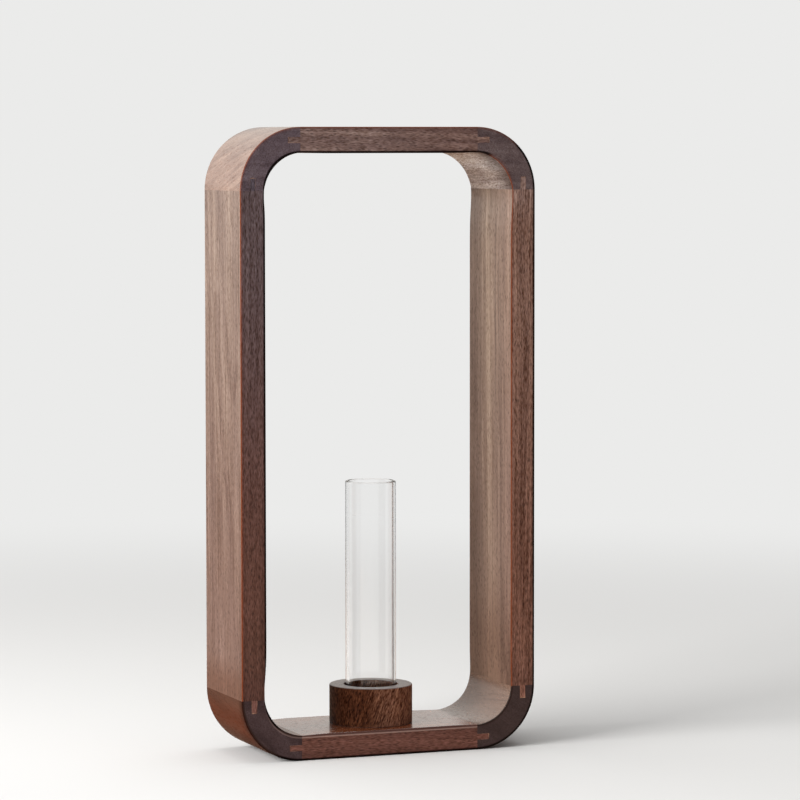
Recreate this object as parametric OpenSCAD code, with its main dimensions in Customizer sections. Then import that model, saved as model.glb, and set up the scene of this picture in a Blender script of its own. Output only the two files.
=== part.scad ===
// Bud vase in a standing wooden frame.
// Two posts and two rails meet in four quarter-round corner blocks. Each board ends in a tongue
// that is let into a groove in the block, so its end shows as a small tab on the front and the
// back. A turned socket on the bottom rail, pinned by a dowel, holds a straight glass tube.
// X runs across the frame, Y from front to back and Z up. The origin is the middle of the underside.

/* [Frame] */
// Height of the frame over its rails
frame_h = 400; // [330:5:480]
// Width of the frame over its posts
frame_w = 200; // [170:5:260]
// Depth of the frame from front face to back face
frame_d = 70; // [62:1:100]
// Thickness of the posts, the rails and the corner blocks
board_t = 16.6; // [14:0.2:20]
// Outer radius of the corner blocks
corner_r = 40; // [34:1:50]
// Rounding of the long edges of the frame
edge_r = 0.8; // [0.6:0.1:2.4]

/* [Tongue joints] */
// Thickness of a tongue
tongue_t = 3.4; // [3:0.2:6]
// Length of a tongue, from the shoulder of its board
tongue_l = 7.8; // [5:0.2:11]
// Gap left for glue between a tongue's end and its groove
groove_gap = 0.4; // [0.1:0.1:0.8]
// Glue clearance on each cheek of a tongue
cheek_gap = 0.05; // [0.02:0.01:0.12]

/* [Glass tube] */
// Outer diameter of the tube
tube_d = 32.5; // [25:0.5:38]
// Length of the tube
tube_l = 150; // [120:5:200]
// Thickness of the tube's wall
glass_t = 2; // [1.4:0.1:2.6]
// Thickness of the glass at the foot
foot_t = 3; // [2:0.1:5]
// Outer radius at the heel, where the wall turns into the foot
heel_r = 4; // [3:0.5:7]
// Inner radius at the heel
heel_in_r = 3; // [2:0.5:6]

/* [Socket] */
// Height of the turned socket
socket_h = 25; // [22:0.5:32]
// Thickness of wood around the bore
socket_wall = 9.25; // [6:0.25:11]
// Depth of the bore that takes the tube
bore_depth = 18.5; // [14:0.5:19]
// Clearance around the tube in the bore
tube_gap = 1.25; // [0.5:0.05:1.8]
// Rounding of the socket's outer top edge
rim_r = 0.8; // [0.3:0.1:1.5]
// Softening of the bore's mouth
mouth_r = 0.5; // [0.2:0.1:0.8]
// Chamfer around the socket's foot
socket_foot_chamfer = 0.4; // [0.2:0.1:0.8]

/* [Dowel] */
// Diameter of the dowel that pins the socket to the rail
dowel_d = 8; // [6:0.5:10]
// Length of the dowel
dowel_l = 14; // [12:0.5:15]
// Wood left between the dowel's top and the floor of the bore
dowel_cover = 2; // [1.6:0.1:3]
// Clearance around the dowel in its holes
dowel_gap = 0.05; // [0.02:0.01:0.1]
// Gap left for glue under the dowel
dowel_end_gap = 0.5; // [0.2:0.1:0.8]
// Chamfer on the dowel's ends
dowel_chamfer = 0.8; // [0.4:0.1:1.2]
// Width of a glue flute along the dowel
flute_w = 0.9; // [0.6:0.1:1.1]

/* [Hidden] */
$fn = 96;

post_l = frame_h - 2 * corner_r;
rail_l = frame_w - 2 * corner_r;
tube_r = tube_d / 2;
tube_in_r = tube_r - glass_t;
bore_r = tube_r + tube_gap;
socket_r = bore_r + socket_wall;
bore_floor_z = board_t + socket_h - bore_depth;
dowel_r = dowel_d / 2;
dowel_hole_r = dowel_r + dowel_gap;
dowel_top_z = bore_floor_z - dowel_cover;
dowel_bottom_z = dowel_top_z - dowel_l;
flutes = 14;
// How far a cut runs past the face that it opens
cut_past = 1;

// A rectangle with all four corners rounded by true arcs, its lower left corner at the origin.
module soft_rectangle(size, radius) {
  translate([radius, 0]) square([size[0] - 2 * radius, size[1]]);
  translate([0, radius]) square([size[0], size[1] - 2 * radius]);
  for (x = [radius, size[0] - radius], y = [radius, size[1] - radius])
    translate([x, y]) circle(radius);
}

// The section that runs all round the frame: thickness along X from the outer face inwards,
// depth along Y from front to back.
module frame_section() {
  translate([0, -frame_d / 2]) soft_rectangle([board_t, frame_d], edge_r);
}

// A bar as deep as the frame and past it by end_past, centred in the board's thickness. It runs from
// below z = 0 up to the length: the shape of a tongue, and of the groove for one.
module tongue_bar(width, length, below, end_past) {
  translate([(board_t - width) / 2, -frame_d / 2 - end_past, -below])
    cube([width, frame_d + 2 * end_past, length + below]);
}

module tongue() {
  tongue_bar(tongue_t, tongue_l, tongue_l, 0);
}

// The groove that takes one tongue, open at both faces and at the shoulder.
module groove() {
  tongue_bar(tongue_t + 2 * cheek_gap, tongue_l + groove_gap, cut_past, cut_past);
}

// A board that stands on z = 0 with its outer face in the plane x = 0, and a tongue on each end.
module board(length) {
  linear_extrude(length) frame_section();
  translate([0, 0, length]) tongue();
  mirror([0, 0, 1]) tongue();
}

// A quarter ring in the X-Z plane, grooved at both ends: a post comes up to its z = 0 end, and a
// rail to its x = 0 end.
module corner_block() {
  difference() {
    rotate([90, 0, 0]) rotate_extrude(angle = 90) translate([corner_r, 0]) mirror([1, 0]) frame_section();
    translate([corner_r, 0, 0]) mirror([1, 0, 0]) groove();
    translate([0, 0, corner_r]) rotate([0, 90, 0]) groove();
  }
}

module place_corner(side, upper) {
  color(upper ? "#4b3c3e" : "#3a2d2f")
    translate([side * (frame_w / 2 - corner_r), 0, upper ? frame_h - corner_r : corner_r])
      mirror([side < 0 ? 1 : 0, 0, 0]) mirror([0, 0, upper ? 0 : 1]) corner_block();
}

module left_post() {
  color("#8a6a5c") translate([-frame_w / 2, 0, corner_r]) board(post_l);
}

module right_post() {
  color("#7d5a4a") translate([frame_w / 2, 0, corner_r]) mirror([1, 0, 0]) board(post_l);
}

// A rail lies along X with its outer face in the plane z = 0.
module rail() {
  translate([rail_l / 2, 0, 0]) rotate([0, -90, 0]) board(rail_l);
}

module bottom_rail() {
  color("#6b4a3e") difference() {
    rail();
    translate([0, 0, dowel_bottom_z - dowel_end_gap]) cylinder(r = dowel_hole_r, h = board_t);
  }
}

module top_rail() {
  color("#6a4c43") translate([0, 0, frame_h]) mirror([0, 0, 1]) rail();
}

// Half of the socket's section, from the axis out to its side: the foot is chamfered, the outer
// top edge is rounded, and the mouth of the bore is softened.
module socket_section() {
  difference() {
    union() {
      polygon([[0, 0], [socket_r - socket_foot_chamfer, 0], [socket_r, socket_foot_chamfer],
               [socket_r, socket_h - rim_r], [0, socket_h - rim_r]]);
      square([socket_r - rim_r, socket_h]);
      translate([socket_r - rim_r, socket_h - rim_r]) circle(rim_r);
    }
    translate([0, socket_h - bore_depth]) square([bore_r, bore_depth + cut_past]);
    difference() {
      translate([bore_r, socket_h - mouth_r]) square([mouth_r, mouth_r + cut_past]);
      translate([bore_r + mouth_r, socket_h - mouth_r]) circle(mouth_r);
    }
  }
}

module tube_socket() {
  color("#5a3a2e") difference() {
    translate([0, 0, board_t]) rotate_extrude() socket_section();
    translate([0, 0, board_t - cut_past]) cylinder(r = dowel_hole_r, h = dowel_top_z - board_t + cut_past);
  }
}

// A fluted dowel with chamfered ends, half in the socket's floor and half in the rail.
module socket_dowel() {
  color("#d8b98a") translate([0, 0, dowel_bottom_z]) difference() {
    union() {
      cylinder(r1 = dowel_r - dowel_chamfer, r2 = dowel_r, h = dowel_chamfer);
      translate([0, 0, dowel_chamfer]) cylinder(r = dowel_r, h = dowel_l - 2 * dowel_chamfer);
      translate([0, 0, dowel_l - dowel_chamfer])
        cylinder(r1 = dowel_r, r2 = dowel_r - dowel_chamfer, h = dowel_chamfer);
    }
    for (turn = [0 : flutes - 1]) rotate(turn * 360 / flutes)
      translate([dowel_r, 0, -cut_past]) cylinder(d = flute_w, h = dowel_l + 2 * cut_past);
  }
}

// Half of the tube's section: a flat foot with a rounded heel, a straight wall and a
// fire-polished rim that is fully round.
module tube_section() {
  rim_z = tube_l - glass_t / 2;
  difference() {
    union() {
      square([tube_r - heel_r, heel_r]);
      translate([0, heel_r]) square([tube_r, rim_z - heel_r]);
      intersection() {
        translate([tube_r - heel_r, heel_r]) circle(heel_r);
        square([tube_r, heel_r]);
      }
    }
    tube_inside();
  }
  translate([tube_r - glass_t / 2, rim_z]) circle(glass_t / 2);
}

// The inside of the tube in section, which is open past the rim.
module tube_inside() {
  translate([0, foot_t + heel_in_r]) square([tube_in_r, tube_l]);
  translate([0, foot_t]) square([tube_in_r - heel_in_r, heel_in_r + cut_past]);
  intersection() {
    translate([tube_in_r - heel_in_r, foot_t + heel_in_r]) circle(heel_in_r);
    translate([0, foot_t]) square([tube_in_r, heel_in_r]);
  }
}

module glass_tube() {
  color("#cfe4e6", 0.4) translate([0, 0, bore_floor_z]) rotate_extrude() tube_section();
}

left_post();
right_post();
bottom_rail();
top_rail();
place_corner(-1, false);  // lower_left_corner
place_corner(1, false);  // lower_right_corner
place_corner(-1, true);  // upper_left_corner
place_corner(1, true);  // upper_right_corner
tube_socket();
socket_dowel();
glass_tube();
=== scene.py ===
import math

import bpy
from mathutils import Matrix, Vector


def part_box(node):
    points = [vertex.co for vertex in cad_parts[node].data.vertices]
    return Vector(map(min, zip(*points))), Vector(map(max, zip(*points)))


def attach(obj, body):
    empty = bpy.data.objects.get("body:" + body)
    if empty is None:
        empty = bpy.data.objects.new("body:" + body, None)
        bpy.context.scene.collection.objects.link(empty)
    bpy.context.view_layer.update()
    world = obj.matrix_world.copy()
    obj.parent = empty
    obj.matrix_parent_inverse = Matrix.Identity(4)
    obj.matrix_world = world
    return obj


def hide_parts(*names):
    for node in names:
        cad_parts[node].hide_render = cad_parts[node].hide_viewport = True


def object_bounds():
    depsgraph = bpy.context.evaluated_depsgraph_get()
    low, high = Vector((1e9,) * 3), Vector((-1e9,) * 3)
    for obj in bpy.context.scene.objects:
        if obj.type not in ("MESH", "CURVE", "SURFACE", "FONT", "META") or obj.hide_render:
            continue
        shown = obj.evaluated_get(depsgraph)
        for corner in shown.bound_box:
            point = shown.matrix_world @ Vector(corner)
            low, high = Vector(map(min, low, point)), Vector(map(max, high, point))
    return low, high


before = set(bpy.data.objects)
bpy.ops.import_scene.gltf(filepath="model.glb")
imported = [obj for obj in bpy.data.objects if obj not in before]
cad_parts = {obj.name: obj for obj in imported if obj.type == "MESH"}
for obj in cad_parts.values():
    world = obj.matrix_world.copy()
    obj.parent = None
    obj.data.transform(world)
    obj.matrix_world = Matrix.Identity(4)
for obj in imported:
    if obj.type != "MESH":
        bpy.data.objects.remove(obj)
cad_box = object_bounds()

# Bud vase: four walnut boards and four quarter-round walnut blocks, joined by tongues and glue into a
# standing frame, with a turned walnut socket on the bottom rail and a clear glass tube in it.

# Sizes read from the frame, in metres
post_lo, post_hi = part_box("left_post")
block_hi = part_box("lower_left_corner")[1]
frame_hi = cad_box[1]
half_w = frame_hi.x
half_d = frame_hi.y
frame_h = frame_hi.z
board_t = post_hi.x - post_lo.x
corner_r = block_hi.z
tongue_l = corner_r - post_lo.z
post_l = frame_h - 2 * corner_r
rail_l = 2 * (half_w - corner_r)
socket_lo, socket_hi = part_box("tube_socket")
tube_lo, tube_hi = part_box("glass_tube")
dowel_lo, dowel_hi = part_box("socket_dowel")

# Sizes that the boxes don't give, in metres
MM = 0.001
QUARTER = math.radians(90)
crisp_angle = math.radians(32)
arris_r = 0.8 * MM
tongue_t = 3.4 * MM
end_film = 0.4 * MM
cheek_film = 0.12 * MM
flush_gap = 0.02 * MM
cut_past = 2 * MM
glass_t = 2 * MM
foot_t = 3 * MM
heel_r = 4 * MM
heel_in_r = 3 * MM
bore_r = 17.5 * MM
rim_r = 0.8 * MM
mouth_r = 0.5 * MM
foot_chamfer = 0.4 * MM
dowel_play = 0.05 * MM
dowel_end_gap = 0.5 * MM
path_step = 2 * MM
arc_points = 65
arris_steps = 6
bore_sides = 64

# Hand sanding of the inner corners, in millimetres: how deep it dips near each seam, how far into the
# board the dip is centred, and how far it runs from there into the board and back into the block.
# The upper blocks are left a little full in the middle of their curve.
POST_SEAMS = {"upper_left": (0.65, 3.5, 8, 9), "upper_right": (0.93, 4, 14, 11),
              "lower_left": (1.33, 5.5, 13.2, 17), "lower_right": (0.3, 3, 10, 8)}
RAIL_SEAMS = {"upper": (0.35, 2, 8, 8), "lower": (0.4, 1, 9, 9)}
upper_swell = 0.6 * MM


def connect(tree, node, inputs):
    """Fills a node's inputs, given by name or in order. Each is a value, or what to link from: a
    socket, a node for its first output in use, or a list of these."""
    if isinstance(inputs, dict):
        pairs = [(node.inputs[name], value) for name, value in inputs.items()]
    else:
        pairs = zip([socket for socket in node.inputs if socket.enabled], inputs)
    for socket, value in pairs:
        for source in value if isinstance(value, list) else [value]:
            if isinstance(source, bpy.types.Node):
                source = next(output for output in source.outputs if output.enabled)
            if isinstance(source, bpy.types.NodeSocket):
                tree.links.new(source, socket)
            else:
                socket.default_value = source


def add_node(tree, kind, inputs=(), **settings):
    """Adds a node with its settings and links."""
    node = tree.nodes.new(kind)
    for name, value in settings.items():
        setattr(node, name, value)
    connect(tree, node, inputs)
    return node


def linear(code):
    """An sRGB hex colour as linear RGBA."""
    channels = [int(code[i:i + 2], 16) / 255 for i in (1, 3, 5)]
    return tuple(c / 12.92 if c <= 0.04045 else ((c + 0.055) / 1.055) ** 2.4 for c in channels) + (1.0,)


# Camera, solved from the edges of the frame
camera_at = (-0.8673, -2.2581, 0.3924)
camera_turn = math.radians(-21.463)
camera_pitch = math.radians(90 - 3.960)
camera_roll = math.radians(-0.055)
camera_data = bpy.data.cameras.new("camera")
camera_data.sensor_width = 36
camera_data.lens = 169.79
camera_data.clip_end = 200
camera = bpy.data.objects.new("camera", camera_data)
camera.matrix_world = (Matrix.Translation(camera_at) @ Matrix.Rotation(camera_turn, 4, "Z")
                       @ Matrix.Rotation(camera_pitch, 4, "X") @ Matrix.Rotation(camera_roll, 4, "Z"))
bpy.context.scene.collection.objects.link(camera)
bpy.context.scene.camera = camera
bpy.context.scene.view_settings.view_transform = "Standard"


# Materials

def new_material(name):
    """A material with its tree and its surface node."""
    material = bpy.data.materials.new(name)
    material.use_nodes = True
    return material, material.node_tree, material.node_tree.nodes["Principled BSDF"]


def streaks(tree, place, size_mm, detail=2.0):
    """Noise in streaks of that size in millimetres, given across, across and along the grain."""
    shrunk = add_node(tree, "ShaderNodeVectorMath", [place, size_mm], operation="DIVIDE")
    return add_node(tree, "ShaderNodeTexNoise", {"Vector": shrunk, "Scale": 1.0, "Detail": detail})


def fill_ramp(node, stops):
    """Sets a colour ramp's stops, each a place and a colour."""
    elements = node.color_ramp.elements
    elements[0].position, elements[0].color = stops[0]
    elements[1].position, elements[1].color = stops[-1]
    for position, colour in stops[1:-1]:
        elements.new(position).color = colour
    return node


# How the tone of walnut varies about its mean, from its darkest purplish streaks to its palest tan
TONES = [(0.36, (0.56, 0.51, 0.53, 1)), (0.46, (0.86, 0.83, 0.84, 1)),
         (0.54, (1.08, 1.07, 1.06, 1)), (0.66, (1.32, 1.36, 1.34, 1))]

# What each kind of piece shows. Sizes are in millimetres, across, across in depth and along the grain:
# broad figure, fine lines, flecks and pores. The real flecks and pores are half as wide, too fine to
# show, and all are wider in depth, which the camera sees foreshortened. Each pair gives a strength for
# the wide faces and one for the others.
WALNUT = {"rough": (0.3, 0.3), "shine": (0.5, 0.5), "bump": 0.15, "pore_rough": 0.25, "wax": 0.0,
          "arris": 1.0, "arris_shine": -0.4, "edge_tint_and_shade": "#6e3319", "edge_tint_and_shade_share": 0.3, "painted_glint": 0.0}
BOARD = WALNUT | {"figure_mm": (6, 7, 140), "figure": (0.6, 0.5), "rings": (0.3, 0.25),
                  "lines_mm": (1.1, 2.4, 110), "lines": (1.4, 1.0),
                  "flecks_mm": (0.6, 1.3, 3.2), "flecks": (1.1, 3.0),
                  "pores_mm": (0.8, 1.5, 3.4), "pores": (0.3, 0.6)}
BLOCK = WALNUT | {"figure_mm": (8, 6, 30), "figure": (0.6, 0.7), "rings": (0.05, 0.2),
                  "lines_mm": (2.0, 1.4, 30), "lines": (0.8, 0.3),
                  "flecks_mm": (0.7, 0.7, 2.6), "flecks": (0.9, 1.8),
                  "pores_mm": (0.9, 0.9, 5), "pores": (0.05, 0.4), "arris_shine": 0.3}
TURNED = WALNUT | {"figure_mm": (4, 4, 40), "figure": (0.6, 0.4), "rings": (0.4, 0.2),
                   "lines_mm": (1.0, 1.0, 9), "lines": (3.2, 0.5),
                   "flecks_mm": (0.8, 0.8, 2.4), "flecks": (3.6, 1.5),
                   "pores_mm": (1.1, 1.1, 4), "pores": (0.6, 0.3),
                   "rough": (0.5, 0.3), "shine": (0.06, 0.65), "arris": 0.0}
# Painted shade: the lower pieces, near the floor, get near-black edge lines all round
SHADED_EDGES = {"edge_tint_and_shade": "#22100c", "edge_tint_and_shade_share": 0.85}
# Between which two values each of these comes in: the other faces and the front, by the normal; faces
# that look up and edges that look down; the late part of a ring; a pore, by the distance from its
# middle; and how likely a pore is
OTHER_FACES = (0.3, 0.92)
FRONT = (0.02, 0.2)
UP = (0.3, 0.95)
DOWN = (-0.3, -0.8)
LATE_PART = (0.35, 0.95)
PORE_EDGE = (0.2, 0.5)
PORE_CHANCE = (0.35, 0.6)
# Width of a growth ring, and how many groups of like rings there are to a ring
ring_mm = 4.2
groups_per_ring = 0.45
# The rings wander by up to this much either way, in waves of this size
wander_mm = 8.0
WAVES_MM = (50, 50, 240)
# The tint of late wood, and the colours of pores, of a painted highlight on an edge and of painted shade
# on an edge
LATE_WOOD = (0.5, 0.42, 0.42, 1)
pore_colour = "#1d1110"
painted_glint_colour = "#cdb3aa"
edge_shade_colour = "#0b0605"
# Painted shade: long edges that look this way, to the right and down, away from the light, get a dark
# line, which is full from this dot product on
SHADED_SIDE = (0.8, 0, -0.5)
full_dark_at = 0.25
# Radius of the opening's corners, and how far from a wide face the lines on its edges begin and are
# full. Those on the outer edges begin further in.
inside_r = corner_r - board_t
painted_glint_from = 2.5 * MM
outer_line_from = 2.0 * MM
inner_line_from = 1.9 * MM
line_full = 1.1 * MM
# What the edges add: a worn arris to the roughness, and the painted shade line to the shine and the
# colour
arris_rough = -0.2
edge_shade_shine = -0.4
edge_shade_share = 0.95
grain_depth = 0.05 * MM
wax_rough = 0.2
# Paler streaks are greyer and darker ones redder
STREAK_HUE = (0.85, 1.0, 1.1)


def outwards_of(tree, place):
    """The way straight outwards at a place on the frame, with the distance as its length, which is
    counted from the rectangle between the centres of the corners."""
    spread = add_node(tree, "ShaderNodeVectorMath", [place, (0, 0, frame_h / 2)], operation="SUBTRACT")
    side = add_node(tree, "ShaderNodeVectorMath", [spread], operation="SIGN")
    spread = add_node(tree, "ShaderNodeVectorMath", [spread], operation="ABSOLUTE")
    past = add_node(tree, "ShaderNodeVectorMath",
                    [spread, (half_w - corner_r, half_d, frame_h / 2 - corner_r)], operation="SUBTRACT")
    past = add_node(tree, "ShaderNodeVectorMath", [past, (0, 0, 0)], operation="MAXIMUM")
    return add_node(tree, "ShaderNodeVectorMath", [past, side], operation="MULTIPLY")


def oiled_walnut(name, colour, other_colour, grain, pith_mm, look, other_axis=(0, 1, 0),
                 drifts=(), tongues=None, inside=None, outside=None):
    """Black walnut, sanded fine and oiled: growth rings about the pith, dark pore dashes along the grain
    and dots across it, and a line of edge colour on the eased arrises, warm on most pieces and painted
    shade on the lower ones. Edges that look away from the light get a darker line of painted shade, and
    some inner edges a pale line of painted highlight. The faces that look along the other axis, which
    show the ring edges or the end grain, have another colour. Each drift gives an axis, two places on
    it, and the tints that wide faces and the others have at the second; most drifts paint light and
    shade.
    The ends of the tongues are given as the axis that they lie along, its middle, the distance to the
    shoulders, and the tint of each end. The wide face inside the frame and the one outside can each have
    a colour of its own. Strengths are made where they are used, because a long shader runs out of room."""
    material, tree, surface = new_material(name)
    spot = add_node(tree, "ShaderNodeTexCoord")
    normal, place = spot.outputs["Normal"], spot.outputs["Object"]
    board = add_node(tree, "ShaderNodeMapping", {
        "Vector": place, "Location": (*pith_mm, 0), "Scale": (1 / MM, 1 / MM, 1 / MM),
        "Rotation": Vector(grain).rotation_difference(Vector((0, 0, 1))).to_euler()})
    other = add_node(tree, "ShaderNodeVectorMath", [normal, other_axis], operation="DOT_PRODUCT")
    other = add_node(tree, "ShaderNodeMath", [other], operation="ABSOLUTE")
    other = add_node(tree, "ShaderNodeMapRange", [other, *OTHER_FACES], interpolation_type="SMOOTHSTEP")

    def strength(label):
        """A strength of the look, between that for the wide faces and that for the others."""
        return add_node(tree, "ShaderNodeMapRange", [other, 0.0, 1.0, *look[label]])

    # The rings wander by some millimetres along the board
    wander = add_node(tree, "ShaderNodeMath", [
        streaks(tree, board, WAVES_MM), 2 * wander_mm, -wander_mm], operation="MULTIPLY_ADD")
    shift = add_node(tree, "ShaderNodeCombineXYZ", [wander, wander])
    warped = add_node(tree, "ShaderNodeVectorMath", [board, shift], operation="ADD")
    across = add_node(tree, "ShaderNodeVectorMath", [warped, (1, 1, 0)], operation="MULTIPLY")
    radius = add_node(tree, "ShaderNodeVectorMath", [across], operation="LENGTH")
    age = add_node(tree, "ShaderNodeMath", [radius, ring_mm], operation="DIVIDE")
    # Groups of rings differ, and so do streaks along the board
    cycle = add_node(tree, "ShaderNodeMath", [age, groups_per_ring], operation="MULTIPLY")
    group = add_node(tree, "ShaderNodeTexNoise", {"W": cycle, "Scale": 1.0, "Detail": 3.0},
                     noise_dimensions="1D")
    cloud = streaks(tree, board, look["figure_mm"], 3.0)
    tone = add_node(tree, "ShaderNodeMix", [0.5, group, cloud])
    tone = fill_ramp(add_node(tree, "ShaderNodeValToRGB", [tone]), TONES)

    wood = add_node(tree, "ShaderNodeMix", [other, linear(colour), linear(other_colour)],
                    data_type="RGBA")
    for axis, start, end, tint, other_tint in drifts:
        tint = add_node(tree, "ShaderNodeMix", [other, (*tint, 1), (*other_tint, 1)], data_type="RGBA")
        share = add_node(tree, "ShaderNodeSeparateXYZ", [place]).outputs[axis]
        share = add_node(tree, "ShaderNodeMapRange", [share, start, end],
                         interpolation_type="SMOOTHSTEP")
        wood = add_node(tree, "ShaderNodeMix", [share, wood, tint], data_type="RGBA",
                        blend_type="MULTIPLY")
    # A wide face with its own colour fades out around the middle of the thickness
    for face, start, end in ((inside, -0.4, -0.8), (outside, -0.6, -0.2)):
        if face:
            reach = outwards_of(tree, place)
            reach = add_node(tree, "ShaderNodeVectorMath", [reach], operation="LENGTH")
            share = add_node(tree, "ShaderNodeMapRange",
                             [reach, corner_r + start * board_t, corner_r + end * board_t])
            wide = add_node(tree, "ShaderNodeMath", [1.0, other], operation="SUBTRACT")
            share = add_node(tree, "ShaderNodeMath", [share, wide], operation="MULTIPLY")
            wood = add_node(tree, "ShaderNodeMix", [share, wood, linear(face)], data_type="RGBA")
    wood = add_node(tree, "ShaderNodeMix", [strength("figure"), wood, tone], data_type="RGBA",
                    blend_type="MULTIPLY")
    # Each ring darkens outwards, and the next starts pale
    late = add_node(tree, "ShaderNodeMath", [age], operation="FRACT")
    late = add_node(tree, "ShaderNodeMapRange", [late, *LATE_PART], interpolation_type="SMOOTHSTEP")
    late = add_node(tree, "ShaderNodeMath", [late, strength("rings")], operation="MULTIPLY")
    wood = add_node(tree, "ShaderNodeMix", [late, wood, LATE_WOOD], data_type="RGBA",
                    blend_type="MULTIPLY")
    shade = (1, 1, 1)
    for label in ("lines", "flecks"):
        noise = streaks(tree, warped, look[label + "_mm"])
        noise = add_node(tree, "ShaderNodeMath", [noise, 0.5], operation="SUBTRACT")
        noise = add_node(tree, "ShaderNodeMath", [noise, strength(label)], operation="MULTIPLY")
        shade = add_node(tree, "ShaderNodeVectorMath", [noise, STREAK_HUE, shade],
                         operation="MULTIPLY_ADD")
    wood = add_node(tree, "ShaderNodeVectorMath", [wood, shade], operation="MULTIPLY")
    if tongues:
        axis, middle, reach, low_tint, high_tint = tongues
        along = add_node(tree, "ShaderNodeSeparateXYZ", [place]).outputs[axis]
        along = add_node(tree, "ShaderNodeMath", [along, middle], operation="SUBTRACT")
        is_high = add_node(tree, "ShaderNodeMath", [along, 0.0], operation="GREATER_THAN")
        tint = add_node(tree, "ShaderNodeMix", [is_high, (*low_tint, 1), (*high_tint, 1)],
                        data_type="RGBA")
        away = add_node(tree, "ShaderNodeMath", [along], operation="ABSOLUTE")
        away = add_node(tree, "ShaderNodeMath", [away, reach], operation="GREATER_THAN")
        away = add_node(tree, "ShaderNodeMath", [away, other], operation="MULTIPLY")
        wood = add_node(tree, "ShaderNodeMix", [away, wood, tint], data_type="RGBA",
                        blend_type="MULTIPLY")

    cells = add_node(tree, "ShaderNodeVectorMath", [warped, look["pores_mm"]], operation="DIVIDE")
    cells = add_node(tree, "ShaderNodeTexVoronoi", {"Vector": cells, "Scale": 1.0})
    pore = add_node(tree, "ShaderNodeMapRange", [cells, *PORE_EDGE, 1.0, 0.0],
                    interpolation_type="SMOOTHSTEP")
    chance = add_node(tree, "ShaderNodeSeparateColor", [cells.outputs["Color"]])
    chance = add_node(tree, "ShaderNodeMapRange", [chance, *PORE_CHANCE],
                      interpolation_type="SMOOTHSTEP")
    pore = add_node(tree, "ShaderNodeMath", [pore, chance], operation="MULTIPLY")
    darkness = add_node(tree, "ShaderNodeMath", [pore, strength("pores")], operation="MULTIPLY")
    wood = add_node(tree, "ShaderNodeMix", [darkness, wood, linear(pore_colour)], data_type="RGBA")
    # A line of the edge colour is laid on the arris between a front and a side, where the normal's share
    # f of the front makes 4 f (1 - f) the largest. On the lower pieces that colour is near black, which
    # is painted shade.
    facing = add_node(tree, "ShaderNodeSeparateXYZ", [normal]).outputs[1]
    facing = add_node(tree, "ShaderNodeMath", [facing, 2.0], operation="POWER")
    aside = add_node(tree, "ShaderNodeMath", [1.0, facing], operation="SUBTRACT")
    arris = add_node(tree, "ShaderNodeMath", [facing, aside], operation="MULTIPLY")
    arris = add_node(tree, "ShaderNodeMath", [arris, 4.0 * look["arris"]], operation="MULTIPLY")
    # A turned piece has no arris, so its edges add nothing
    edge_shine = arris
    if look["arris"]:
        wood = add_node(tree, "ShaderNodeMix", [arris, wood, linear(look["edge_tint_and_shade"])], data_type="RGBA")
        outwards = outwards_of(tree, place)
        reach = add_node(tree, "ShaderNodeVectorMath", [outwards], operation="LENGTH")
        outwards = add_node(tree, "ShaderNodeVectorMath", [outwards], operation="NORMALIZE")
        turned_dark = add_node(tree, "ShaderNodeVectorMath", [outwards, SHADED_SIDE],
                               operation="DOT_PRODUCT")
        on_front = add_node(tree, "ShaderNodeMapRange", [facing, *FRONT],
                            interpolation_type="SMOOTHSTEP")
        if look["painted_glint"]:
            # Painted highlight: a pale line on inner edges over the rail, next to their dark line, where
            # the rounded arris catches the light
            painted_glint = add_node(tree, "ShaderNodeMapRange",
                              [reach, inside_r + painted_glint_from, inside_r + inner_line_from],
                              interpolation_type="SMOOTHSTEP")
            downwards = add_node(tree, "ShaderNodeSeparateXYZ", [outwards]).outputs[2]
            downwards = add_node(tree, "ShaderNodeMapRange", [downwards, *DOWN])
            painted_glint = add_node(tree, "ShaderNodeMath", [painted_glint, downwards], operation="MULTIPLY")
            painted_glint = add_node(tree, "ShaderNodeMath", [painted_glint, on_front], operation="MULTIPLY")
            painted_glint = add_node(tree, "ShaderNodeMath", [painted_glint, look["painted_glint"]], operation="MULTIPLY")
            wood = add_node(tree, "ShaderNodeMix", [painted_glint, wood, linear(painted_glint_colour)],
                            data_type="RGBA")
        # Painted shade: a dark line with less shine along the edges that look right and down, away from
        # the light; on the other edges the line takes the edge colour
        dark = 0.0
        for fade, full, turned_to in (
                (corner_r - outer_line_from, corner_r - line_full, full_dark_at),
                (inside_r + inner_line_from, inside_r + line_full, -full_dark_at)):
            near = add_node(tree, "ShaderNodeMapRange", [reach, fade, full],
                            interpolation_type="SMOOTHSTEP")
            near = add_node(tree, "ShaderNodeMath", [near, on_front], operation="MULTIPLY")
            there = add_node(tree, "ShaderNodeMapRange", [turned_dark, 0.0, turned_to],
                             interpolation_type="SMOOTHSTEP")
            tint = add_node(tree, "ShaderNodeMix", [there, linear(look["edge_tint_and_shade"]), linear(edge_shade_colour)],
                            data_type="RGBA")
            share = add_node(tree, "ShaderNodeMapRange",
                             [there, 0.0, 1.0, look["edge_tint_and_shade_share"], edge_shade_share])
            share = add_node(tree, "ShaderNodeMath", [share, near], operation="MULTIPLY")
            wood = add_node(tree, "ShaderNodeMix", [share, wood, tint], data_type="RGBA")
            dark = add_node(tree, "ShaderNodeMath", [there, near, dark], operation="MULTIPLY_ADD")
        edge_shine = add_node(tree, "ShaderNodeMath", [edge_shine, look["arris_shine"]],
                              operation="MULTIPLY")
        edge_shine = add_node(tree, "ShaderNodeMath", [dark, edge_shade_shine, edge_shine],
                              operation="MULTIPLY_ADD")
    shine = add_node(tree, "ShaderNodeMath", [strength("shine"), edge_shine], operation="ADD")
    rough = add_node(tree, "ShaderNodeMath", [pore, look["pore_rough"], strength("rough")],
                     operation="MULTIPLY_ADD")
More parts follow.
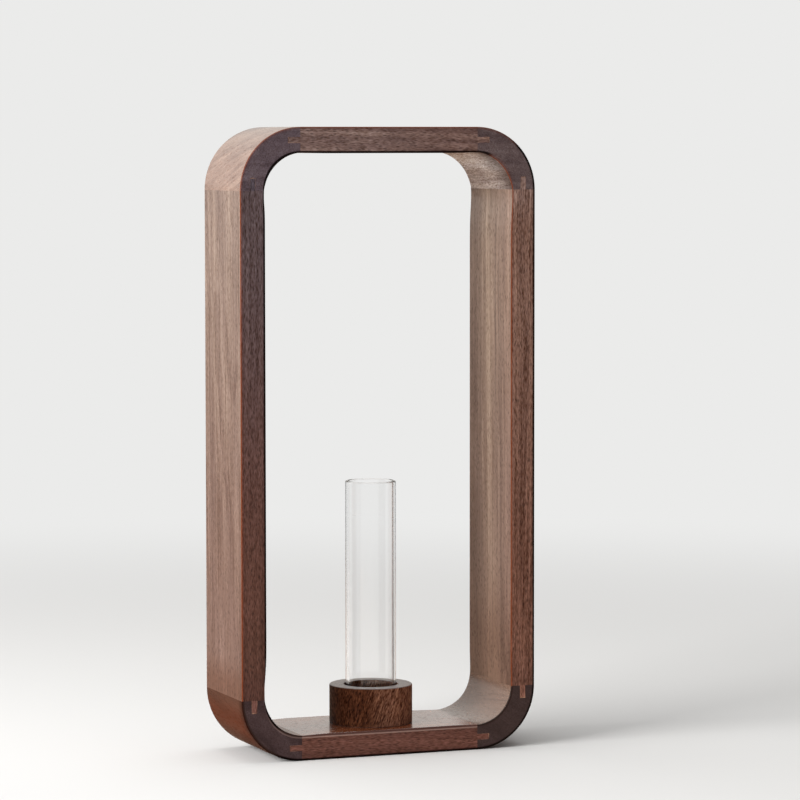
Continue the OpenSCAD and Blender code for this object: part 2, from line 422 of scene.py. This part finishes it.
    rough = add_node(tree, "ShaderNodeMath", [arris, arris_rough, rough], operation="MULTIPLY_ADD")
    height = add_node(tree, "ShaderNodeMath", [shade, pore], operation="SUBTRACT")
    bump = add_node(tree, "ShaderNodeBump", {"Strength": look["bump"], "Distance": grain_depth,
                                             "Height": height})
    # Faces that look up carry a film of wax
    wax = add_node(tree, "ShaderNodeSeparateXYZ", [normal]).outputs[2]
    wax = add_node(tree, "ShaderNodeMapRange", [wax, *UP, 0.0, look["wax"]],
                   interpolation_type="SMOOTHSTEP")
    connect(tree, surface, {"Base Color": wood, "Roughness": rough, "Specular IOR Level": shine,
                            "Normal": bump, "Coat Weight": wax, "Coat Roughness": wax_rough})
    return material


def in_millimetres(tree):
    """The place on a piece in millimetres."""
    spot = add_node(tree, "ShaderNodeTexCoord").outputs["Object"]
    return add_node(tree, "ShaderNodeVectorMath", [spot, (MM, MM, MM)], operation="DIVIDE")


def wood_glue(name):
    """Cured wood glue in a joint: pale amber, a little glossy."""
    material, tree, surface = new_material(name)
    patches = streaks(tree, in_millimetres(tree), (3.5, 3.5, 3.5))
    colour = fill_ramp(add_node(tree, "ShaderNodeValToRGB", [patches]),
                       [(0.42, linear("#5c4036")), (0.62, linear("#c09a82"))])
    connect(tree, surface, {"Base Color": colour, "Roughness": 0.4})
    return material


def clear_glass(name):
    """Borosilicate glass, drawn as a tube and fire polished at its rim: clear and colourless, with
    dark and bright lines where its wall is seen edge on."""
    material, tree, surface = new_material(name)
    connect(tree, surface, {"Base Color": linear("#ffffff"), "Transmission Weight": 1.0, "IOR": 1.47,
                            "Roughness": 0.0})
    return material


def beech(name):
    """Plain beech dowel rod, pale and unfinished, with short fine flecks."""
    material, tree, surface = new_material(name)
    fibre = streaks(tree, in_millimetres(tree), (0.6, 0.6, 9), 3.0)
    colour = fill_ramp(add_node(tree, "ShaderNodeValToRGB", [fibre]),
                       [(0.3, linear("#b98f63")), (0.7, linear("#e0c095"))])
    connect(tree, surface, {"Base Color": colour, "Roughness": 0.7})
    return material


# The grain's direction in posts and rails, where their tongues are, and a tint that changes nothing
ALONG_Z, ALONG_X = (0.01, 0.015, 1), (1, 0.02, -0.05)
POST_ENDS, RAIL_ENDS = (2, frame_h / 2, post_l / 2), (0, 0.0, rail_l / 2)
SAME = (1, 1, 1)
materials = {
    # Painted light: paler and greyer towards the top, where more light and sheen fall, and redder and
    # darker at its foot, where less falls
    "left_post": oiled_walnut(
        "walnut_left_post", "#745e54", "#6a4a41", ALONG_Z, (190, 18), BOARD,
        drifts=[(2, 0.1, 0.36, (1.36, 1.54, 1.56), (0.96, 1.5, 2.05)),
                (2, 0.135, 0.075, (0.86, 0.84, 0.87), SAME),
                (2, 0.095, 0.075, SAME, (0.82, 0.8, 0.78)),
                (2, 0.07, 0.045, (0.7, 0.53, 0.45), (0.82, 0.78, 0.84))],
        tongues=(*POST_ENDS, (2.0, 2.1, 2.2), (0.72, 0.8, 0.92))),
    # Paler towards the back; paler towards the top and darker at its foot, which is painted light and
    # shade
    "right_post": oiled_walnut(
        "walnut_right_post", "#654b3f", "#855f50", ALONG_Z, (-210, -60), BOARD | {"lines": (1.2, 2.6)},
        drifts=[(1, -half_d, 30 * MM - half_d, (1.33, 1.44, 1.41), SAME),
                (2, 0.06, 0.125, (1.6, 1.9, 2.1), SAME),
                (2, 0.14, 0.34, (1.21, 1.25, 1.22), SAME),
                (2, 0.08, 0.3, SAME, (1.28, 1.55, 1.69)),
                (2, 0.335, 0.36, SAME, (1.15, 1.27, 1.37)),
                (2, 0.07, 0.045, SAME, (0.85, 0.84, 0.88))],
        tongues=(*POST_ENDS, (1.5, 1.5, 1.5), (1.1, 1.15, 1.2))),
    # Waxed on top, where the socket stands
    "bottom_rail": oiled_walnut(
        "walnut_bottom_rail", "#7d4426", "#6d4840", ALONG_X, (150, 25),
        BOARD | SHADED_EDGES | {"bump": 0.03, "pore_rough": 0.2, "rough": (0.27, 0.3), "shine": (1.4, 0.5),
                              "wax": 0.4, "edge_tint_and_shade": "#3a120c", "arris_shine": -0.3, "painted_glint": 0.5,
                              "flecks": (1.8, 3.0), "lines": (2.0, 1.0)},
        drifts=[(0, 0.0, 0.05, SAME, (1.12, 1.12, 1.1))],
        tongues=(*RAIL_ENDS, (1.1, 1.1, 1.1), (1.2, 1.2, 1.2))),
    # Short wavy figure, and redder to the right
    "top_rail": oiled_walnut(
        "walnut_top_rail", "#8c6d60", "#8d7771", ALONG_X, (520, -70),
        BOARD | {"figure_mm": (5, 7, 25), "figure": (0.45, 0.8), "lines": (1.2, 0.3),
                 "flecks": (1.7, 2.6), "rough": (0.5, 0.3), "shine": (0.15, 0.5)},
        drifts=[(0, -0.02, 0.05, SAME, (0.88, 0.81, 0.79))],
        tongues=(*RAIL_ENDS, (1.0, 1.0, 1.0), (1.25, 1.25, 1.2))),
    # The blocks show end grain on the front, darker than the boards
    "upper_left_corner": oiled_walnut(
        "walnut_upper_left_block", "#8a7367", "#6a5e65", (0, -1, 0.35), (30, 460),
        BLOCK | {"wax": 0.3}),
    # Painted light: the inner curve is paler towards the back and towards the top, where it faces down,
    # away from the light
    "upper_right_corner": oiled_walnut(
        "walnut_upper_right_block", "#5f524c", "#706263", (0, -1, 0.04), (-20, 340),
        BLOCK | {"lines_mm": (1.2, 1.2, 14), "lines": (1.4, 0.3), "figure": (0.5, 0.7),
                 "flecks": (2.4, 1.8), "rough": (0.6, 0.3), "shine": (0.12, 0.5)},
        drifts=[(1, -half_d, 35 * MM - half_d, (4.35, 5.1, 5.4), SAME),
                (2, 0.37, 0.376, (1.5, 1.72, 1.88), SAME)],
        outside="#80695b"),
    # Darker at its foot near the floor, which is painted shadow; also paler and bluer higher up the
    # curve, and darker towards the front
    "lower_left_corner": oiled_walnut(
        "walnut_lower_left_block", "#4d2211", "#45383c", (0, -1, -0.2), (160, 70),
        BLOCK | SHADED_EDGES | {"figure": (0.4, 0.7), "painted_glint": 0.2, "shine": (0.03, 0.36),
                              "arris_shine": -0.4, "wax": 0.3},
        drifts=[(2, 0.024, 0.04, (0.92, 1.85, 3.4), SAME),
                (2, 0.022, 0.008, (0.6, 0.4, 0.3), SAME),
                (1, 9 * MM - half_d, -half_d, (0.4, 0.28, 0.22), SAME)],
        inside="#86614e"),
    "lower_right_corner": oiled_walnut(
        "walnut_lower_right_block", "#705749", "#3f3335", (0, -1, 0.1), (-30, 120),
        BLOCK | SHADED_EDGES | {"figure": (0.15, 0.4), "wax": 0.3, "rough": (0.25, 0.3)}),
    # Painted light and shade: darker on the left, where the left post shades it, and paler on the right,
    # where sheen and light fall
    "tube_socket": oiled_walnut(
        "walnut_turned_socket", "#452718", "#5f4b43", (0.36, 0, 1), (60, 40), TURNED,
        other_axis=(0, 0, 1), drifts=[(0, -14 * MM, 12 * MM, (4.9, 7.0, 9.8), SAME)]),
    "glue": wood_glue("cured_wood_glue"),
    "glass_tube": clear_glass("clear_borosilicate_glass"),
    "socket_dowel": beech("raw_beech_dowel"),
}


# Pieces made by rule

def new_tree(name, sizes):
    """An empty geometry tree with a named input for each size, its output, and its input node."""
    tree = bpy.data.node_groups.new(name, "GeometryNodeTree")
    tree.interface.new_socket("Geometry", in_out="OUTPUT", socket_type="NodeSocketGeometry")
    for label, kind in sizes.items():
        tree.interface.new_socket(label, in_out="INPUT", socket_type="NodeSocket" + kind)
    return tree, tree.nodes.new("NodeGroupInput").outputs


def end_tree(tree, geometry, material):
    """Makes the result real, gives it its material and sends it out."""
    real = add_node(tree, "GeometryNodeRealizeInstances", [geometry])
    made = add_node(tree, "GeometryNodeSetMaterial", {"Geometry": real, "Material": material})
    add_node(tree, "NodeGroupOutput", {"Geometry": made})


def from_tree(name, tree, values):
    """Runs a tree with these inputs and returns its result as an object with a plain mesh."""
    piece = bpy.data.objects.new(name, bpy.data.meshes.new(name))
    bpy.context.scene.collection.objects.link(piece)
    modifier = piece.modifiers.new("build", "NODES")
    modifier.node_group = tree
    for item in tree.interface.items_tree:
        if item.in_out == "INPUT" and item.name in values:
            modifier[item.identifier] = values[item.name]
    shown = piece.evaluated_get(bpy.context.evaluated_depsgraph_get())
    mesh = bpy.data.meshes.new_from_object(shown)
    piece.modifiers.clear()
    piece.data = mesh
    return piece


def soften(piece):
    """Smooth faces with crisp edges, and the flat faces kept flat."""
    piece.data.shade_smooth()
    piece.data.set_sharp_from_angle(angle=crisp_angle)
    modifier = piece.modifiers.new("even_normals", "WEIGHTED_NORMAL")
    modifier.keep_sharp = True


def settle(piece, slot, body, *nodes):
    """Puts a finished piece on its body, in place of the CAD nodes that it stands for."""
    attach(piece, body)
    if nodes:
        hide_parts(*nodes)


def member_tree():
    """A board or a quarter-round block: one rounded section swept along a straight or a quarter-circle
    path, dipped near its seams, with a tongue added or a groove cut at both ends. The section's
    thickness runs from the path inwards."""
    dip_sizes = [end + size for end in ("Start ", "End ")
                 for size in ("Dip", "Centre", "Run", "Back Run")]
    tree, given = new_tree("frame_member", {
        "Straight Length": "Float", "Corner Radius": "Float", "Is Block": "Bool", "Thickness": "Float",
        "Depth": "Float", "Arris Radius": "Float",
        **dict.fromkeys(dip_sizes, "Float"), "Swell": "Float", "Tongue Width": "Float",
        "Tongue Length": "Float", "Tongue Depth": "Float", "Has Bore": "Bool",
        "Bore Radius": "Float", "Bore Depth": "Float", "Material": "Material"})
    length, radius, thick = given["Straight Length"], given["Corner Radius"], given["Thickness"]
    is_block = given["Is Block"]
    middle = add_node(tree, "ShaderNodeMath", [thick, 0.5], operation="MULTIPLY")
    far_end = add_node(tree, "ShaderNodeCombineXYZ", {"Z": length})
    line = add_node(tree, "GeometryNodeCurvePrimitiveLine", {"End": far_end})
    line = add_node(tree, "GeometryNodeResampleCurve", {"Curve": line, "Length": path_step},
                    mode="LENGTH")
    arc = add_node(tree, "GeometryNodeCurveArc", {
        "Resolution": arc_points, "Radius": radius, "Sweep Angle": QUARTER}, mode="RADIUS")
    arc = add_node(tree, "GeometryNodeTransform", {"Geometry": arc, "Rotation": (QUARTER, 0, 0)})
    path = add_node(tree, "GeometryNodeSwitch", [is_block, line, arc], input_type="GEOMETRY")
    place = add_node(tree, "GeometryNodeInputPosition")
    to_middle = add_node(tree, "ShaderNodeVectorMath", [place, -1.0], operation="SCALE")
    to_middle = add_node(tree, "ShaderNodeVectorMath", [to_middle], operation="NORMALIZE")
    inwards = add_node(tree, "GeometryNodeSwitch", [is_block, (1, 0, 0), to_middle], input_type="VECTOR")
    path = add_node(tree, "GeometryNodeSetCurveNormal", {"Curve": path, "Normal": inwards}, mode="FREE")
    along = add_node(tree, "GeometryNodeSplineParameter").outputs["Length"]
    whole = add_node(tree, "GeometryNodeSplineLength")
    left = add_node(tree, "ShaderNodeMath", [whole, along], operation="SUBTRACT")
    carried = add_node(tree, "GeometryNodeCaptureAttribute", [path])
    for kind, label in (("VECTOR", "Inwards"), ("FLOAT", "From Start"), ("FLOAT", "From End")):
        carried.capture_items.new(kind, label)
    connect(tree, carried, {"Inwards": inwards, "From Start": along, "From End": left})

    section = add_node(tree, "GeometryNodeCurvePrimitiveQuadrilateral",
                       {"Width": thick, "Height": given["Depth"]})
    section = add_node(tree, "GeometryNodeFilletCurve",
                       {"Curve": section, "Count": arris_steps, "Radius": given["Arris Radius"]},
                       mode="POLY")
    half_in = add_node(tree, "ShaderNodeCombineXYZ", [middle])
    section = add_node(tree, "GeometryNodeTransform", {"Geometry": section, "Translation": half_in})
    height = add_node(tree, "ShaderNodeSeparateXYZ", [place])
    marked = add_node(tree, "GeometryNodeCaptureAttribute", [section])
    marked.capture_items.new("FLOAT", "Inward Share")
    share = add_node(tree, "ShaderNodeMath", [height, thick], operation="DIVIDE")
    connect(tree, marked, {"Inward Share": share})
    body = add_node(tree, "GeometryNodeCurveToMesh",
                    {"Curve": carried, "Profile Curve": marked, "Fill Caps": True})

    # The middle of the curve swells, and near each seam a dip fades like a bell curve
    from_start, from_end = carried.outputs[2], carried.outputs[3]
    turn = add_node(tree, "ShaderNodeMath", [from_start, from_end], operation="ADD")
    turn = add_node(tree, "ShaderNodeMath", [from_start, turn], operation="DIVIDE")
    turn = add_node(tree, "ShaderNodeMath", [turn, math.pi], operation="MULTIPLY")
    rise = add_node(tree, "ShaderNodeMath", [turn], operation="SINE")
    rise = add_node(tree, "ShaderNodeMath", [rise, 2.0], operation="POWER")
    inward = add_node(tree, "ShaderNodeMath", [rise, given["Swell"]], operation="MULTIPLY")
    for label, distance in (("Start ", from_start), ("End ", from_end)):
        off = add_node(tree, "ShaderNodeMath", [distance, given[label + "Centre"]], operation="SUBTRACT")
        beyond = add_node(tree, "ShaderNodeMath", [off, 0.0], operation="GREATER_THAN")
        run = add_node(tree, "ShaderNodeMix", [beyond, given[label + "Back Run"], given[label + "Run"]])
        fade = add_node(tree, "ShaderNodeMath", [off, run], operation="DIVIDE")
        fade = add_node(tree, "ShaderNodeMath", [fade, fade], operation="MULTIPLY")
        fade = add_node(tree, "ShaderNodeMath", [fade, -1.0], operation="MULTIPLY")
        fade = add_node(tree, "ShaderNodeMath", [fade], operation="EXPONENT")
        dip = add_node(tree, "ShaderNodeMath", [fade, given[label + "Dip"]], operation="MULTIPLY")
        inward = add_node(tree, "ShaderNodeMath", [inward, dip], operation="SUBTRACT")
    inward = add_node(tree, "ShaderNodeMath", [inward, marked.outputs[1]], operation="MULTIPLY")
    offset = add_node(tree, "ShaderNodeVectorMath", [carried.outputs[1], inward], operation="SCALE")
    body = add_node(tree, "GeometryNodeSetPosition", {"Geometry": body, "Offset": offset})

    # Bars for the tongues of a board reach out of it and into it; those of a block are its grooves
    reach = add_node(tree, "ShaderNodeMath", [given["Tongue Length"], 2.0], operation="MULTIPLY")
    size = add_node(tree, "ShaderNodeCombineXYZ", [given["Tongue Width"], given["Tongue Depth"], reach])
    bar = add_node(tree, "GeometryNodeMeshCube", {"Size": size})
    lying = add_node(tree, "GeometryNodeTransform", {"Geometry": bar, "Rotation": (0, QUARTER, 0)})
    centre = add_node(tree, "ShaderNodeMath", [radius, middle], operation="SUBTRACT")
    first_x = add_node(tree, "GeometryNodeSwitch", [is_block, middle, centre], input_type="FLOAT")
    first_at = add_node(tree, "ShaderNodeCombineXYZ", [first_x])
    first = add_node(tree, "GeometryNodeTransform", {"Geometry": bar, "Translation": first_at})
    last_bar = add_node(tree, "GeometryNodeSwitch", [is_block, bar, lying], input_type="GEOMETRY")
    board_end = add_node(tree, "ShaderNodeCombineXYZ", [middle, 0.0, length])
    block_end = add_node(tree, "ShaderNodeCombineXYZ", {"Z": centre})
    last_at = add_node(tree, "GeometryNodeSwitch", [is_block, board_end, block_end], input_type="VECTOR")
    last = add_node(tree, "GeometryNodeTransform", {"Geometry": last_bar, "Translation": last_at})
    cutting = {"operation": "DIFFERENCE", "solver": "MANIFOLD"}
    tongued, grooved = body, body
    for end in (first, last):
        tongued = add_node(tree, "GeometryNodeMeshBoolean", {"Mesh 2": [tongued, end]},
                           operation="UNION", solver="MANIFOLD")
        grooved = add_node(tree, "GeometryNodeMeshBoolean", {"Mesh 1": grooved, "Mesh 2": end},
                           **cutting)
    deep = add_node(tree, "ShaderNodeMath", [given["Bore Depth"], 2.0], operation="MULTIPLY")
    drill = add_node(tree, "GeometryNodeMeshCylinder", {
        "Vertices": bore_sides, "Radius": given["Bore Radius"], "Depth": deep})
    halfway = add_node(tree, "ShaderNodeMath", [length, 0.5], operation="MULTIPLY")
    drill_at = add_node(tree, "ShaderNodeCombineXYZ", [thick, 0.0, halfway])
    drill = add_node(tree, "GeometryNodeTransform", {
        "Geometry": drill, "Rotation": (0, QUARTER, 0), "Translation": drill_at})
    drilled = add_node(tree, "GeometryNodeMeshBoolean", {"Mesh 1": tongued, "Mesh 2": drill}, **cutting)
    board = add_node(tree, "GeometryNodeSwitch", [given["Has Bore"], tongued, drilled],
                     input_type="GEOMETRY")
    made = add_node(tree, "GeometryNodeSwitch", [is_block, board, grooved], input_type="GEOMETRY")
    end_tree(tree, made, given["Material"])
    return tree


member = member_tree()


def frame_member(node, turn, at, start, end, **more):
    """Builds one board or block in place of its CAD node, turned about Y by whole quarter turns. Start
    and end are the seams there, which say how it was sanded."""
    is_block = "corner" in node
    values = {"Straight Length": rail_l if "rail" in node else post_l, "Corner Radius": corner_r,
              "Is Block": is_block, "Thickness": board_t, "Depth": 2 * half_d, "Arris Radius": arris_r,
              "Swell": upper_swell if node.startswith("upper") else 0.0,
              "Tongue Width": tongue_t + 2 * cheek_film if is_block else tongue_t,
              "Tongue Length": tongue_l + end_film if is_block else tongue_l,
              "Tongue Depth": 2 * (half_d + cut_past) if is_block else 2 * (half_d - flush_gap),
              "Material": materials[node], **more}
    # The dip is centred in the board, so a block takes only the part that runs back past the seam
    for label, (dip, centre, run, back_run) in (("Start ", start), ("End ", end)):
        values |= {label + "Dip": dip * MM, label + "Centre": -centre * MM if is_block else centre * MM,
                   label + "Run": back_run * MM if is_block else run * MM,
                   label + "Back Run": back_run * MM}
    piece = from_tree(node.replace("corner", "block") + "_wood", member, values)
    piece.data.transform(Matrix.Translation(at) @ Matrix.Rotation(math.radians(turn), 4, "Y"))
    soften(piece)
    settle(piece, "walnut_block" if is_block else "walnut_board", "wooden_frame", node)


dowel_r = (dowel_hi.x - dowel_lo.x) / 2 + dowel_play
bore = {"Has Bore": True, "Bore Radius": dowel_r, "Bore Depth": board_t - dowel_lo.z + dowel_end_gap}
arc_x, arc_top = half_w - corner_r, frame_h - corner_r
top, bottom = RAIL_SEAMS["upper"], RAIL_SEAMS["lower"]
upper_left, upper_right = POST_SEAMS["upper_left"], POST_SEAMS["upper_right"]
lower_left, lower_right = POST_SEAMS["lower_left"], POST_SEAMS["lower_right"]
frame_member("left_post", 0, (-half_w, 0, corner_r), lower_left, upper_left)
frame_member("right_post", 180, (half_w, 0, arc_top), upper_right, lower_right)
frame_member("bottom_rail", -90, (arc_x, 0, 0), bottom, bottom, **bore)
frame_member("top_rail", 90, (-arc_x, 0, frame_h), top, top)
frame_member("upper_right_corner", 0, (arc_x, 0, arc_top), upper_right, top)
frame_member("lower_right_corner", 90, (arc_x, 0, corner_r), bottom, lower_right)
frame_member("lower_left_corner", 180, (-arc_x, 0, corner_r), lower_left, bottom)
frame_member("upper_left_corner", -90, (-arc_x, 0, arc_top), top, upper_left)


def glue_tree():
    """The film of glue in a tongue joint, seen as a line on the front and the back: along both cheeks
    and the end of the tongue. One film is made and set at all eight joints."""
    tree, given = new_tree("glue_films", {
        "Half Width": "Float", "Frame Height": "Float", "Corner Radius": "Float", "Thickness": "Float",
        "Tongue Width": "Float", "Tongue Length": "Float", "Cheek Film": "Float", "End Film": "Float",
        "Depth": "Float", "Material": "Material"})
    wide = add_node(tree, "ShaderNodeMath", [given["Cheek Film"], 2.0, given["Tongue Width"]],
                    operation="MULTIPLY_ADD")
    tall = add_node(tree, "ShaderNodeMath", [given["Tongue Length"], given["End Film"]], operation="ADD")
    size = add_node(tree, "ShaderNodeCombineXYZ", [wide, given["Depth"], tall])
    outer = add_node(tree, "GeometryNodeMeshCube", {"Size": size})
    half_tall = add_node(tree, "ShaderNodeMath", [tall, 0.5], operation="MULTIPLY")
    half_up = add_node(tree, "ShaderNodeCombineXYZ", {"Z": half_tall})
    outer = add_node(tree, "GeometryNodeTransform", {"Geometry": outer, "Translation": half_up})
    size = add_node(tree, "ShaderNodeCombineXYZ", [given["Tongue Width"], given["Depth"],
                                                   given["Tongue Length"]])
    size = add_node(tree, "ShaderNodeVectorMath", [size, (1, 2, 2)], operation="MULTIPLY")
    inner = add_node(tree, "GeometryNodeMeshCube", {"Size": size})
    film = add_node(tree, "GeometryNodeMeshBoolean", {"Mesh 1": outer, "Mesh 2": inner},
                    operation="DIFFERENCE", solver="MANIFOLD")
    middle = add_node(tree, "ShaderNodeMath", [given["Thickness"], 0.5], operation="MULTIPLY")
    at_post = add_node(tree, "ShaderNodeMath", [given["Half Width"], middle], operation="SUBTRACT")
    at_end = add_node(tree, "ShaderNodeMath", [given["Half Width"], given["Corner Radius"]],
                      operation="SUBTRACT")
    low = [middle, given["Corner Radius"]]
    high = [add_node(tree, "ShaderNodeMath", [given["Frame Height"], level], operation="SUBTRACT")
            for level in low]
    films = []
    for side in (-1, 1):
        for (rail_level, post_level), post_turn in ((low, 2 * QUARTER), (high, 0)):
            for x, z, turn in ((at_post, post_level, post_turn), (at_end, rail_level, side * QUARTER)):
                at = add_node(tree, "ShaderNodeCombineXYZ", {"X": x, "Z": z})
                at = add_node(tree, "ShaderNodeVectorMath", [at, (side, 1, 1)], operation="MULTIPLY")
                films.append(add_node(tree, "GeometryNodeTransform", {
                    "Geometry": film, "Translation": at, "Rotation": (0, turn, 0)}))
    end_tree(tree, add_node(tree, "GeometryNodeJoinGeometry", {"Geometry": films}), given["Material"])
    return tree


glue = from_tree("glue_films", glue_tree(), {
    "Half Width": half_w, "Frame Height": frame_h, "Corner Radius": corner_r, "Thickness": board_t,
    "Tongue Width": tongue_t, "Tongue Length": tongue_l, "Cheek Film": cheek_film, "End Film": end_film,
    "Depth": 2 * (half_d - flush_gap), "Material": materials["glue"]})
settle(glue, "walnut_board", "wooden_frame")


# Turned and drawn pieces

def bend(centre, radius, start, stop, steps=8):
    """Points of an arc in a section, from one angle in degrees to another."""
    angles = [math.radians(start + (stop - start) * i / steps) for i in range(steps + 1)]
    return [(centre[0] + radius * math.cos(a), centre[1] + radius * math.sin(a)) for a in angles]


def turned(name, outline, material, segments=128):
    """Turns a section about Z. It runs anticlockwise from the axis round to the axis."""
    mesh = bpy.data.meshes.new(name)
    points, rings = [], []
    for radius, z in outline:
        on_axis = radius < 1e-9
        rings.append(list(range(len(points), len(points) + (1 if on_axis else segments))))
        for i in range(1 if on_axis else segments):
            angle = 2 * math.pi * i / segments
            points.append((radius * math.cos(angle), radius * math.sin(angle), z))
    faces = []
    for low, high in zip(rings, rings[1:]):
        for i in range(segments):
            j = (i + 1) % segments
            corners = [low[i % len(low)], low[j % len(low)], high[j % len(high)], high[i % len(high)]]
            faces.append(list(dict.fromkeys(corners)))
    mesh.from_pydata(points, [], faces)
    mesh.materials.append(material)
    piece = bpy.data.objects.new(name, mesh)
    bpy.context.scene.collection.objects.link(piece)
    return piece


socket_r = socket_hi.x
foot_z, socket_top = socket_lo.z, socket_hi.z
bore_floor = tube_lo.z
hole_top = dowel_hi.z
socket_outline = [
    (0, hole_top), (dowel_r, hole_top), (dowel_r, foot_z), (socket_r - foot_chamfer, foot_z),
    (socket_r, foot_z + foot_chamfer), *bend((socket_r - rim_r, socket_top - rim_r), rim_r, 0, 90),
    *bend((bore_r + mouth_r, socket_top - mouth_r), mouth_r, 90, 180),
    (bore_r, bore_floor), (0, bore_floor)]
socket = turned("socket_wood", socket_outline, materials["tube_socket"])
soften(socket)
settle(socket, "walnut_socket", "wooden_frame", "tube_socket")

tube_r, tube_foot = tube_hi.x, tube_lo.z
inner_r = tube_r - glass_t
rim_z = tube_hi.z - glass_t / 2
tube_outline = [
    (0, tube_foot), *bend((tube_r - heel_r, tube_foot + heel_r), heel_r, -90, 0),
    *bend((tube_r - glass_t / 2, rim_z), glass_t / 2, 0, 180, 12),
    *bend((inner_r - heel_in_r, tube_foot + foot_t + heel_in_r), heel_in_r, 0, -90),
    (0, tube_foot + foot_t)]
tube = turned("tube_glass", tube_outline, materials["glass_tube"])
soften(tube)
settle(tube, "clear_glass", "tube", "glass_tube")

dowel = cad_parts["socket_dowel"]
dowel.data.materials.clear()
dowel.data.materials.append(materials["socket_dowel"])


# Studio

backdrop = "#ebebea"
reflected_backdrop = "#efeae4"
floor_seen = "#e4e3e1"
floor_light = "#b99a84"
window_at = (-1.6, -0.4, 0.62)
floor_reach = 30.0
# The floor turns into backdrop between these distances from the vase, and from below the window light
vase_fade = (0.45, 1.5)
window_fade = (1.55, 1.05)
# Where the world is brightest, and how reflections and light grow towards there: the cosines where
# each begins and ends, and its levels at both
BRIGHTEST = tuple(Vector((-0.7, 0.5, 0.5)).normalized())
SHEEN = (-0.3, 0.25, 0.05, 1.0)
LIGHT_LEVEL = (-0.7, 0.9, 0.14, 0.7)

floor_mesh = bpy.data.meshes.new("floor")
floor_corners = [(-floor_reach, -floor_reach, 0), (floor_reach, -floor_reach, 0),
                 (floor_reach, floor_reach, 0), (-floor_reach, floor_reach, 0)]
floor_mesh.from_pydata(floor_corners, [], [(0, 1, 2, 3)])
floor = bpy.data.objects.new("floor", floor_mesh)
bpy.context.scene.collection.objects.link(floor)


def seen_plainly(tree):
    """One for rays from the camera, also through glass, and nought for light and reflections."""
    rays = add_node(tree, "ShaderNodeLightPath").outputs
    return add_node(tree, "ShaderNodeMath", [rays["Is Camera Ray"], rays["Is Transmission Ray"]],
                    operation="MAXIMUM")


def pale_floor():
    """A matt floor that keeps the shadow near the vase and runs out into the backdrop's colour. It
    looks pale, but lights the wood from below as weakly and warmly as a brown one would."""
    material, tree, surface = new_material("pale_floor")
    plainly = seen_plainly(tree)
    colour = add_node(tree, "ShaderNodeMix", [plainly, linear(floor_light), linear(floor_seen)],
                      data_type="RGBA")
    connect(tree, surface, {"Base Color": colour, "Roughness": 0.9, "Specular IOR Level": 0.0})
    spot = add_node(tree, "ShaderNodeTexCoord").outputs["Object"]
    away = add_node(tree, "ShaderNodeVectorMath", [spot], operation="LENGTH")
    far = add_node(tree, "ShaderNodeMapRange", [away, *vase_fade], interpolation_type="SMOOTHSTEP")
    # Under the window light the floor would clip to white, so it is plain backdrop there too
    away = add_node(tree, "ShaderNodeVectorMath", [spot, (*window_at[:2], 0)], operation="DISTANCE")
    under = add_node(tree, "ShaderNodeMapRange", [away, *window_fade], interpolation_type="SMOOTHSTEP")
    under = add_node(tree, "ShaderNodeMath", [under, plainly], operation="MULTIPLY")
    far = add_node(tree, "ShaderNodeMath", [far, under], operation="MAXIMUM")
    glow = add_node(tree, "ShaderNodeEmission", [linear(backdrop), plainly])
    both = add_node(tree, "ShaderNodeMixShader", [far, surface, glow])
    connect(tree, tree.nodes["Material Output"], {"Surface": both})
    return material


floor_mesh.materials.append(pale_floor())


def soft_world():
    """Pale all round for the camera and through glass. As light and in reflections it fades from pale
    behind, above and to the left, to dim in front and to the right."""
    world = bpy.data.worlds.new("studio")
    world.use_nodes = True
    tree = world.node_tree
    direction = add_node(tree, "ShaderNodeTexCoord").outputs["Generated"]
    toward = add_node(tree, "ShaderNodeVectorMath", [direction, BRIGHTEST], operation="DOT_PRODUCT")
    sheen = add_node(tree, "ShaderNodeMapRange", [toward, *SHEEN],
                     interpolation_type="SMOOTHSTEP")
    gloss = add_node(tree, "ShaderNodeBackground", [linear(reflected_backdrop), sheen])
    level = add_node(tree, "ShaderNodeMapRange", [toward, *LIGHT_LEVEL],
                     interpolation_type="SMOOTHSTEP")
    light = add_node(tree, "ShaderNodeBackground", [linear("#ffffff"), level])
    seen = add_node(tree, "ShaderNodeBackground", [linear(backdrop), 1.0])
    glossy = add_node(tree, "ShaderNodeLightPath").outputs["Is Glossy Ray"]
    unseen = add_node(tree, "ShaderNodeMixShader", [glossy, light, gloss])
    both = add_node(tree, "ShaderNodeMixShader", [seen_plainly(tree), unseen, seen])
    connect(tree, tree.nodes["World Output"], {"Surface": both})
    bpy.context.scene.world = world


soft_world()


def soft_light(name, at, size, power, aim=(0, 0, frame_h / 2)):
    """A soft rectangular light that neither the camera nor a reflection shows."""
    data = bpy.data.lights.new(name, "AREA")
    data.shape = "RECTANGLE"
    data.size, data.size_y = size
    data.energy = power
    light = bpy.data.objects.new(name, data)
    light.location = at
    light.rotation_euler = (Vector(aim) - Vector(at)).to_track_quat("-Z", "Y").to_euler()
    light.visible_camera = False
    light.visible_glossy = False
    bpy.context.scene.collection.objects.link(light)


soft_light("window_left", window_at, size=(1.1, 1.2), power=48)
soft_light("ceiling", (0.1, 0.3, 2.3), size=(1.6, 1.6), power=12)
